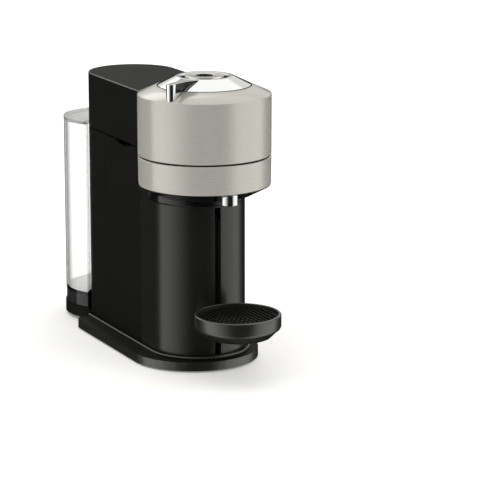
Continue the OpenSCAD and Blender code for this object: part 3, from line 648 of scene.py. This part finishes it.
lens_profile = [
    (0, BUTTON_Z - LENS_WELL), (LENS_R - 0.1, BUTTON_Z - LENS_WELL), (LENS_R - 0.1, BUTTON_Z - 0.45),
    (LENS_R - 0.3, BUTTON_Z - 0.22), (LENS_R - 0.8, BUTTON_Z - 0.14), (0, BUTTON_Z - 0.05)]
make_object("black_lens", revolved("black_lens", lens_profile, (0, HEAD_Y)), "button_window")

# ---- chrome cap and its lever ----

LEVER_TURN = 180 + 33  # degrees from +X
LEVER_REACH = 64.7
LEVER_HALF = 5.4
ROOT_FLARE = 6.2
FLANK_DEPTH = 9.5
FOOT_LINE = 0.9  # height of the painted shade line along the blade's foot
PLATEAU_R = 31
PLATEAU_Z = cap_high.z - 0.9
ROOT_R = PLATEAU_R - 4
LEVER_Z = PLATEAU_Z - 0.1
CAP_FOOT_Z = shell_high.z
BUTTON_HOLE_R = BUTTON_R + 0.3


def lever_outline():
    """Top outline of the lever: root on the plateau, S-curved flanks, round end."""
    side = []
    for i in range(17):
        t = min(1, i / 9)
        half = LEVER_HALF + ROOT_FLARE * (1 - 3 * t * t + 2 * t ** 3)
        side.append((ROOT_R + (LEVER_REACH - ROOT_R) * i / 16, -half))
    end = [(LEVER_REACH + LEVER_HALF * math.sin(math.radians(a)), -LEVER_HALF * math.cos(math.radians(a)))
           for a in range(9, 180, 9)]
    return side + end + [(x, -y) for x, y in reversed(side)]


def under_lever(r):
    """Height of the lever's underside: just over the cap, then over the head's cone."""
    root_z, edge_r, edge_z = PLATEAU_Z - 1.7, CAP_R + 0.4, CAP_FOOT_Z + 0.9
    if r < PLATEAU_R:
        return root_z
    if r < edge_r:
        return root_z + (edge_z - root_z) * (r - PLATEAU_R) / (edge_r - PLATEAU_R)
    return edge_z - CONE_SLOPE * (r - edge_r)


def lever_blade():
    """The blade: bright top and end; its upper flanks painted dark as a painted dark reflection, its rounded
    foot following the cap and its underside painted dark as painted shade.
    """
    outline = lever_outline()
    count = len(outline)
    turn = math.radians(LEVER_TURN)
    levels = ((0, lambda r: LEVER_Z),
              (0, lambda r: max(LEVER_Z - FLANK_DEPTH, under_lever(r) + FOOT_LINE + 0.05)),
              (0.25, lambda r: under_lever(r) + FOOT_LINE),
              (1.3, under_lever))
    verts = []
    for inset, level in levels:
        for x, y in outline:
            y -= math.copysign(min(abs(y), inset), y)
            x = min(x, LEVER_REACH) + max(0, x - LEVER_REACH) * (1 - inset / LEVER_HALF)
            verts.append(((x * math.cos(turn) - y * math.sin(turn)) * MM,
                          (HEAD_Y + x * math.sin(turn) + y * math.cos(turn)) * MM,
                          level(math.hypot(x, y)) * MM))
    last = len(levels) - 1
    faces = [tuple(range(count)), tuple(range(last * count, (last + 1) * count))]
    # faces painted dark: the underside and the foot as painted shade, the upper flanks as a painted dark
    # reflection
    dark = [0, 1]
    for row in range(last):
        for k in range(count):
            m = (k + 1) % count
            faces.append((row * count + k, row * count + m, (row + 1) * count + m, (row + 1) * count + k))
            on_flank = max(outline[k][0], outline[m][0]) <= LEVER_REACH + 0.01
            dark.append(1 if row == last - 1 or row == 0 and on_flank else 0)
    return solid("lever_blade", verts, faces, dark, angle=40)


cap_profile = [
    (BUTTON_HOLE_R, PLATEAU_Z - 3), (BUTTON_HOLE_R, PLATEAU_Z - 0.35),
    (BUTTON_HOLE_R + 0.12, PLATEAU_Z - 0.1), (BUTTON_HOLE_R + 0.35, PLATEAU_Z),
    (PLATEAU_R - 1.4, PLATEAU_Z), (PLATEAU_R - 0.5, PLATEAU_Z - 0.08),
    (PLATEAU_R + 0.3, PLATEAU_Z - 0.32), (PLATEAU_R + 1.2, PLATEAU_Z - 0.8),
    (CAP_R - 0.7, CAP_FOOT_Z + 0.62), (CAP_R - 0.25, CAP_FOOT_Z + 0.3), (CAP_R, CAP_FOOT_Z - 0.1),
    (CAP_R - 0.6, CAP_FOOT_Z - 0.8), (CAP_R - 3, CAP_FOOT_Z - 1.4), (PLATEAU_R, PLATEAU_Z - 3)]
leg_profile = [(43, 240), (46, 240), (46, CAP_FOOT_Z - 0.5), (43, CAP_FOOT_Z + 0.5)]
legs = [revolved("lever_leg", leg_profile, (0, HEAD_Y), arc=(side + 48, side + 70), steps=12)
        for side in (0, 180)]
cap = joined("chrome_cap", [revolved("cap", cap_profile, (0, HEAD_Y), steps=256)] + legs)
cap_piece = make_object("chrome_cap", cap, "lever_cap")
# painted shade: the faces round the cap's foot are painted nearly black for the shadow in the gap under the
# cap
refinish(cap_piece, PAINTED_DARK_CHROME, lambda normal, z: CAP_FOOT_Z - 1 < z < CAP_FOOT_Z + 0.2)
blade = make_object("lever_blade", lever_blade(), "lever_cap", stands_for=False)
blade.data.materials.append(PAINTED_DARK_CHROME)
bevelled(blade, 0.5)

# ---- bead round the body's foot, swept along the body's plan ----


def sweep_tree():
    """A round cord swept along a curve."""
    tree, given, out = node_group("foot_bead", [
        ("Radius", "NodeSocketFloat"), ("Sides", "NodeSocketInt"), ("Material", "NodeSocketMaterial")])
    path = add(tree, "GeometryNodeMeshToCurve", {"Mesh": given["Geometry"]})
    section = add(tree, "GeometryNodeCurvePrimitiveCircle",
                  {"Resolution": given["Sides"], "Radius": given["Radius"]})
    swept = add(tree, "GeometryNodeCurveToMesh", {"Curve": path.outputs[0],
                                                  "Profile Curve": section.outputs["Curve"]}, Fill_Caps=True)
    soft = add(tree, "GeometryNodeSetShadeSmooth", {"Geometry": swept.outputs[0]})
    real = add(tree, "GeometryNodeRealizeInstances", {"Geometry": soft.outputs[0]})
    dressed = add(tree, "GeometryNodeSetMaterial", {"Geometry": real.outputs[0],
                                                    "Material": given["Material"]})
    tree.links.new(dressed.outputs[0], out["Geometry"])
    return tree


def foot_path(d, y_end):
    """Open path round the front of the column and back along both sides, d outside the body."""
    r = COLUMN_R + d
    front = [(r * math.sin(math.radians(a)), COLUMN_Y - r * math.cos(math.radians(a)))
             for a in range(-90, 91, 2)]
    return [(-r, y_end)] + front + [(r, y_end)]


BEAD_R = 1.1
BEAD_OUT = 4.2
BEAD_END = 9
points = foot_path(BEAD_OUT, base_high.y - BEAD_END)
line = bpy.data.meshes.new("foot_path")
line.from_pydata([(x * MM, y * MM, (base_high.z - 0.1) * MM) for x, y in points],
                 [(i, i + 1) for i in range(len(points) - 1)], [])
# painted highlight: the bead is coloured lighter grey for the bright line along the foot
bead = grown(line, sweep_tree(), {"Radius": BEAD_R * MM, "Sides": 12, "Material": PAINTED_HIGHLIGHT_EDGE})
make_object("foot_bead", bead, "base_plate", PAINTED_HIGHLIGHT_EDGE, stands_for=False)

# ---- drip grid: rim and two layers of round-edged bars ----


def grid_tree():
    """Bars across a round grid, each as long as its chord."""
    tree, given, out = node_group("grid_bars", [
        ("Radius", "NodeSocketFloat"), ("Count", "NodeSocketInt"), ("Spacing", "NodeSocketFloat"),
        ("Centre", "NodeSocketVector"), ("Turn", "NodeSocketFloat"), ("Material", "NodeSocketMaterial")])
    span = add(tree, "ShaderNodeMath", {0: given["Spacing"], 1: given["Count"]}, operation="MULTIPLY")
    first = add(tree, "ShaderNodeMath", {0: given["Spacing"], 1: span.outputs[0]}, operation="SUBTRACT")
    start = add(tree, "ShaderNodeMath", {0: first.outputs[0]}, operation="MULTIPLY")
    start.inputs[1].default_value = 0.5
    begin = add(tree, "ShaderNodeCombineXYZ", {"X": start.outputs[0]})
    step = add(tree, "ShaderNodeCombineXYZ", {"X": given["Spacing"]})
    row = add(tree, "GeometryNodeMeshLine", {"Count": given["Count"], "Start Location": begin.outputs[0],
                                             "Offset": step.outputs[0]})
    place = add(tree, "ShaderNodeSeparateXYZ", {"Vector": add(tree, "GeometryNodeInputPosition").outputs[0]})
    square = add(tree, "ShaderNodeMath", {0: place.outputs["X"], 1: place.outputs["X"]},
                 operation="MULTIPLY")
    whole = add(tree, "ShaderNodeMath", {0: given["Radius"], 1: given["Radius"]}, operation="MULTIPLY")
    rest = add(tree, "ShaderNodeMath", {0: whole.outputs[0], 1: square.outputs[0]}, operation="SUBTRACT")
    half = add(tree, "ShaderNodeMath", {0: rest.outputs[0]}, operation="SQRT")
    size = add(tree, "ShaderNodeCombineXYZ", {"Y": half.outputs[0]}, X=1.0, Z=1.0)
    bars = add(tree, "GeometryNodeInstanceOnPoints", {"Points": row.outputs[0],
                                                      "Instance": given["Geometry"],
                                                      "Scale": size.outputs[0]})
    spin = add(tree, "ShaderNodeCombineXYZ", {"Z": given["Turn"]})
    moved = add(tree, "GeometryNodeTransform", {"Geometry": bars.outputs[0],
                                                "Translation": given["Centre"],
                                                "Rotation": spin.outputs[0]})
    real = add(tree, "GeometryNodeRealizeInstances", {"Geometry": moved.outputs[0]})
    dressed = add(tree, "GeometryNodeSetMaterial", {"Geometry": real.outputs[0],
                                                    "Material": given["Material"]})
    tree.links.new(dressed.outputs[0], out["Geometry"])
    return tree


def bar(half_w, half_h, ease):
    """A bar 2 m long along Y, which the tree scales to each chord, its section in millimetres."""
    section = [(half_w, -half_h), (half_w, half_h - ease), (half_w - ease, half_h),
               (-half_w + ease, half_h), (-half_w, half_h - ease), (-half_w, -half_h)]
    count = len(section)
    verts = [(x * MM, y, z * MM) for y in (-1, 1) for x, z in section]
    faces = [tuple(range(count)), tuple(reversed(range(count, 2 * count)))]
    faces += [(k, count + k, count + (k + 1) % count, (k + 1) % count) for k in range(count)]
    return solid("bar", verts, faces)


RIM_W = 3.6
RIM_EASE = 0.3
grid_top, grid_foot = grid_high.z, grid_low.z
bars = grid_tree()
layers = []
for half_w, half_h, ease, count, spacing, turn, drop in (
        (0.9, 0.6, 0.3, 15, 5.2, 0.0, 0.6), (0.8, 0.5, 0.2, 9, 8.4, math.pi / 2, 1.4)):
    layers.append(grown(bar(half_w, half_h, ease), bars, {
        "Radius": (GRID_R - RIM_W + 0.4) * MM, "Count": count, "Spacing": spacing * MM, "Turn": turn,
        "Centre": (0.0, TRAY_Y * MM, (grid_top - drop) * MM), "Material": FINISH["satin_black"]}))
rim_profile = [(GRID_R - RIM_W, grid_foot), (GRID_R - RIM_EASE, grid_foot), (GRID_R, grid_foot + RIM_EASE),
               (GRID_R, grid_top - RIM_EASE), (GRID_R - RIM_EASE, grid_top),
               (GRID_R - RIM_W + RIM_EASE, grid_top), (GRID_R - RIM_W, grid_top - RIM_EASE)]
rim = revolved("grid_rim", rim_profile, (0, TRAY_Y), steps=128)
make_object("drip_grid_bars", joined("drip_grid_bars", [rim] + layers), "drip_grid")

# ---- tank: pale floor inside ----


def crescent(d):
    """Outline of the tank drawn in by d: round outside, hollowed round the rear end."""
    outer, inner, horn = TANK_R - d, TANK_IN_R + d, TANK_HORN_Y + d
    a0 = math.asin((horn - TANK_Y) / outer)
    b0 = math.asin((horn - REAR_Y) / inner)
    steps = 72
    back = [a0 + (math.pi - 2 * a0) * i / steps for i in range(steps + 1)]
    front = [math.pi - b0 - (math.pi - 2 * b0) * i / steps for i in range(steps + 1)]
    return [(outer * math.cos(a), TANK_Y + outer * math.sin(a)) for a in back] + [
        (inner * math.cos(b), REAR_Y + inner * math.sin(b)) for b in front]


TANK_WALL = 2.4
TANK_FLOOR_Z = tank_low.z + 2.55
tank_floor = prism("tank_floor", crescent(TANK_WALL), TANK_FLOOR_Z, TANK_FLOOR_Z + 0.35)
make_object("tank_floor", tank_floor, "tank_shell", frosted_copolyester(), stands_for=False)

# ---- camera ----

camera = bpy.data.objects.new("camera", bpy.data.cameras.new("camera"))
bpy.context.scene.collection.objects.link(camera)
camera.data.lens = 180.3
camera.data.sensor_width = 36
camera.data.clip_end = 50
camera.location = (-1.1039, -2.4473, 0.7285)
camera.rotation_euler = (math.radians(90 - 13.075), 0, math.radians(-26.138))
bpy.context.scene.camera = camera

# ---- floor and light ----


def plain_floor():
    """A wide pale floor."""
    mesh = bpy.data.meshes.new("floor")
    half, z = 15, -0.1 * MM
    mesh.from_pydata([(-half, -half, z), (half, -half, z), (half, half, z), (-half, half, z)],
                     [], [(0, 1, 2, 3)])
    obj = bpy.data.objects.new("floor", mesh)
    bpy.context.scene.collection.objects.link(obj)
    material, _, _ = new_material("studio_floor", "#fafafa", Roughness=0.8, Specular_IOR_Level=0.0,
                                  Emission_Color=linear("#ffffff"), Emission_Strength=0.16)
    mesh.materials.append(material)
    obj.visible_glossy = False


plain_floor()


def studio():
    """Soft boxes left and right of the front, dark between them, a lit rear and a bright ceiling."""
    world = bpy.data.worlds.new("studio")
    world.use_nodes = True
    tree = world.node_tree
    facing = add(tree, "ShaderNodeTexCoord").outputs["Generated"]
    axis = add(tree, "ShaderNodeSeparateXYZ", {"Vector": facing})
    forward = add(tree, "ShaderNodeMath", {0: axis.outputs["Y"]}, operation="MULTIPLY")
    forward.inputs[1].default_value = -1.0
    azimuth = add(tree, "ShaderNodeMath", {0: axis.outputs["X"], 1: forward.outputs[0]},
                  operation="ARCTAN2").outputs[0]
    around = add(tree, "ShaderNodeMath", {0: azimuth}, operation="ABSOLUTE").outputs[0]
    height = axis.outputs["Z"]

    # each light is a product of edges: what is measured, where the edge starts and ends, both values
    turn = math.radians
    lights = (
        ((azimuth, turn(-128.5), turn(-127), 0, 1.5), (azimuth, turn(-105), turn(-35), 1, 0)),
        ((azimuth, turn(8), turn(42), 0, 1.4), (azimuth, turn(84), turn(108), 1, 0)),
        ((around, turn(100), turn(125), 0, 0.85), (height, 0.08, 0.22, 0, 1)),
        ((around, turn(140), turn(165), 0, 2.4), (height, 0.3, 0.42, 0, 1), (height, 0.62, 0.75, 1, 0)),
        ((height, 0.35, 0.65, 0.015, 1.25),),
    )
    brightest = None
    for edges in lights:
        light = None
        for measure, start, end, low, high in edges:
            edge = add(tree, "ShaderNodeMapRange", {"Value": measure}, interpolation_type="SMOOTHSTEP",
                       From_Min=start, From_Max=end, To_Min=low, To_Max=high).outputs["Result"]
            light = edge if light is None else add(
                tree, "ShaderNodeMath", {0: light, 1: edge}, operation="MULTIPLY").outputs[0]
        brightest = light if brightest is None else add(
            tree, "ShaderNodeMath", {0: brightest, 1: light}, operation="MAXIMUM").outputs[0]
    seen = add(tree, "ShaderNodeLightPath").outputs["Is Camera Ray"]
    strength = add(tree, "ShaderNodeMix", {"Factor": seen, "A": brightest}, data_type="FLOAT", B=1.0)
    background = tree.nodes["Background"]
    background.inputs["Color"].default_value = linear("#fffefa")
    tree.links.new(strength.outputs[0], background.inputs["Strength"])
    bpy.context.scene.world = world


studio()
bpy.context.scene.view_settings.view_transform = "Standard"
